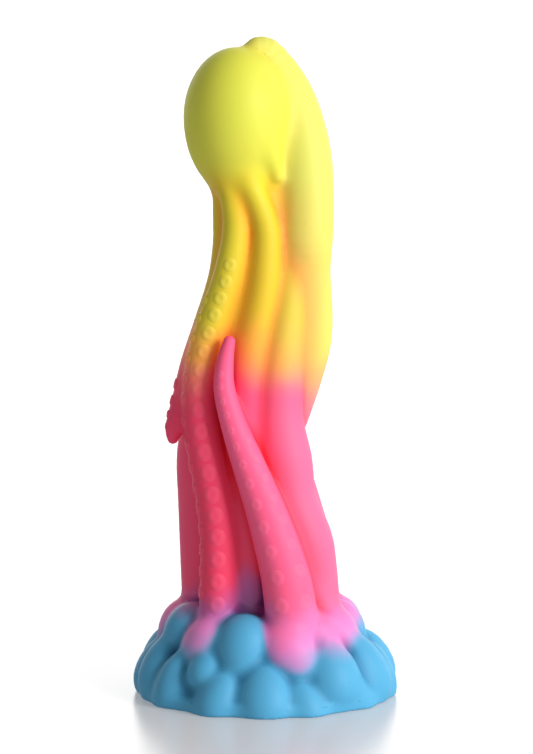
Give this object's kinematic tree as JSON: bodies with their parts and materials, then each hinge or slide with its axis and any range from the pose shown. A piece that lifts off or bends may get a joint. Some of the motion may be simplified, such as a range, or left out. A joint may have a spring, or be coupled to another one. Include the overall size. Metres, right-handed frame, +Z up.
{
  "type": "silicone adult toy, octopus form",
  "caption": "Adult toy: a cast silicone octopus figure, a bulb head over long flowing tentacles with suckers, on a domed pebble base with a suction recess. Yellow to pink to blue.",
  "frame": {"origin": "centre of the plinth's underside, on the surface that it stands on", "axes": "+Z up along the figure, -Y towards the side with the head's front and the free front tentacle, +X to the viewer's right of that side"},
  "size_m": [0.0811, 0.081, 0.2046],
  "materials": {
    "silicone_yellow": "satin",
    "silicone_pink": "satin",
    "silicone_blue": "satin"
  },
  "bodies": {
    "base": {"flexing_root": "silicone_pink", "mound": "silicone_blue", "plinth": "silicone_blue", "rock_lower_01": "silicone_blue", "rock_lower_02": "silicone_blue", "rock_lower_03": "silicone_blue", "rock_lower_04": "silicone_blue", "rock_lower_05": "silicone_blue", "rock_lower_06": "silicone_blue", "rock_lower_07": "silicone_blue", "rock_lower_08": "silicone_blue", "rock_lower_09": "silicone_blue", "rock_lower_10": "silicone_blue", "rock_lower_11": "silicone_blue", "rock_lower_12": "silicone_blue", "rock_lower_13": "silicone_blue", "rock_lower_14": "silicone_blue", "rock_lower_15": "silicone_blue", "rock_lower_16": "silicone_blue", "rock_lower_17": "silicone_blue", "rock_lower_18": "silicone_blue", "rock_lower_19": "silicone_blue", "rock_lower_20": "silicone_blue", "rock_upper_01": "silicone_blue", "rock_upper_02": "silicone_blue", "rock_upper_03": "silicone_blue", "rock_upper_04": "silicone_blue", "rock_upper_05": "silicone_blue", "rock_upper_06": "silicone_blue", "rock_upper_07": "silicone_blue", "rock_upper_08": "silicone_blue", "rock_upper_09": "silicone_blue", "rock_upper_10": "silicone_blue", "rock_upper_11": "silicone_blue", "rock_upper_12": "silicone_blue", "rock_upper_13": "silicone_blue", "rock_upper_14": "silicone_blue"},
    "stem": {"centre": "silicone_pink", "core": "silicone_pink", "crest_arm": "silicone_yellow", "front_curl": "silicone_pink", "front_curl_side_suckers": "silicone_pink", "front_curl_suckers": "silicone_pink", "front_left": "silicone_pink", "front_left_side_suckers": "silicone_pink", "front_left_suckers": "silicone_pink", "head": "silicone_yellow", "left_back": "silicone_pink", "left_curl": "silicone_pink", "left_curl_suckers": "silicone_pink", "right_back": "silicone_pink", "right_front": "silicone_pink"}
  },
  "joints": [
    {"name": "trunk_bend", "type": "hinge", "parent": "base", "child": "stem", "pos_m": [-0.0012, 0, 0.03], "axis": [0, 1, 0], "range_deg": [-20, 20], "stiffness_Nm_per_rad": 1, "deforming": ["flexing_root"]}
  ]
}
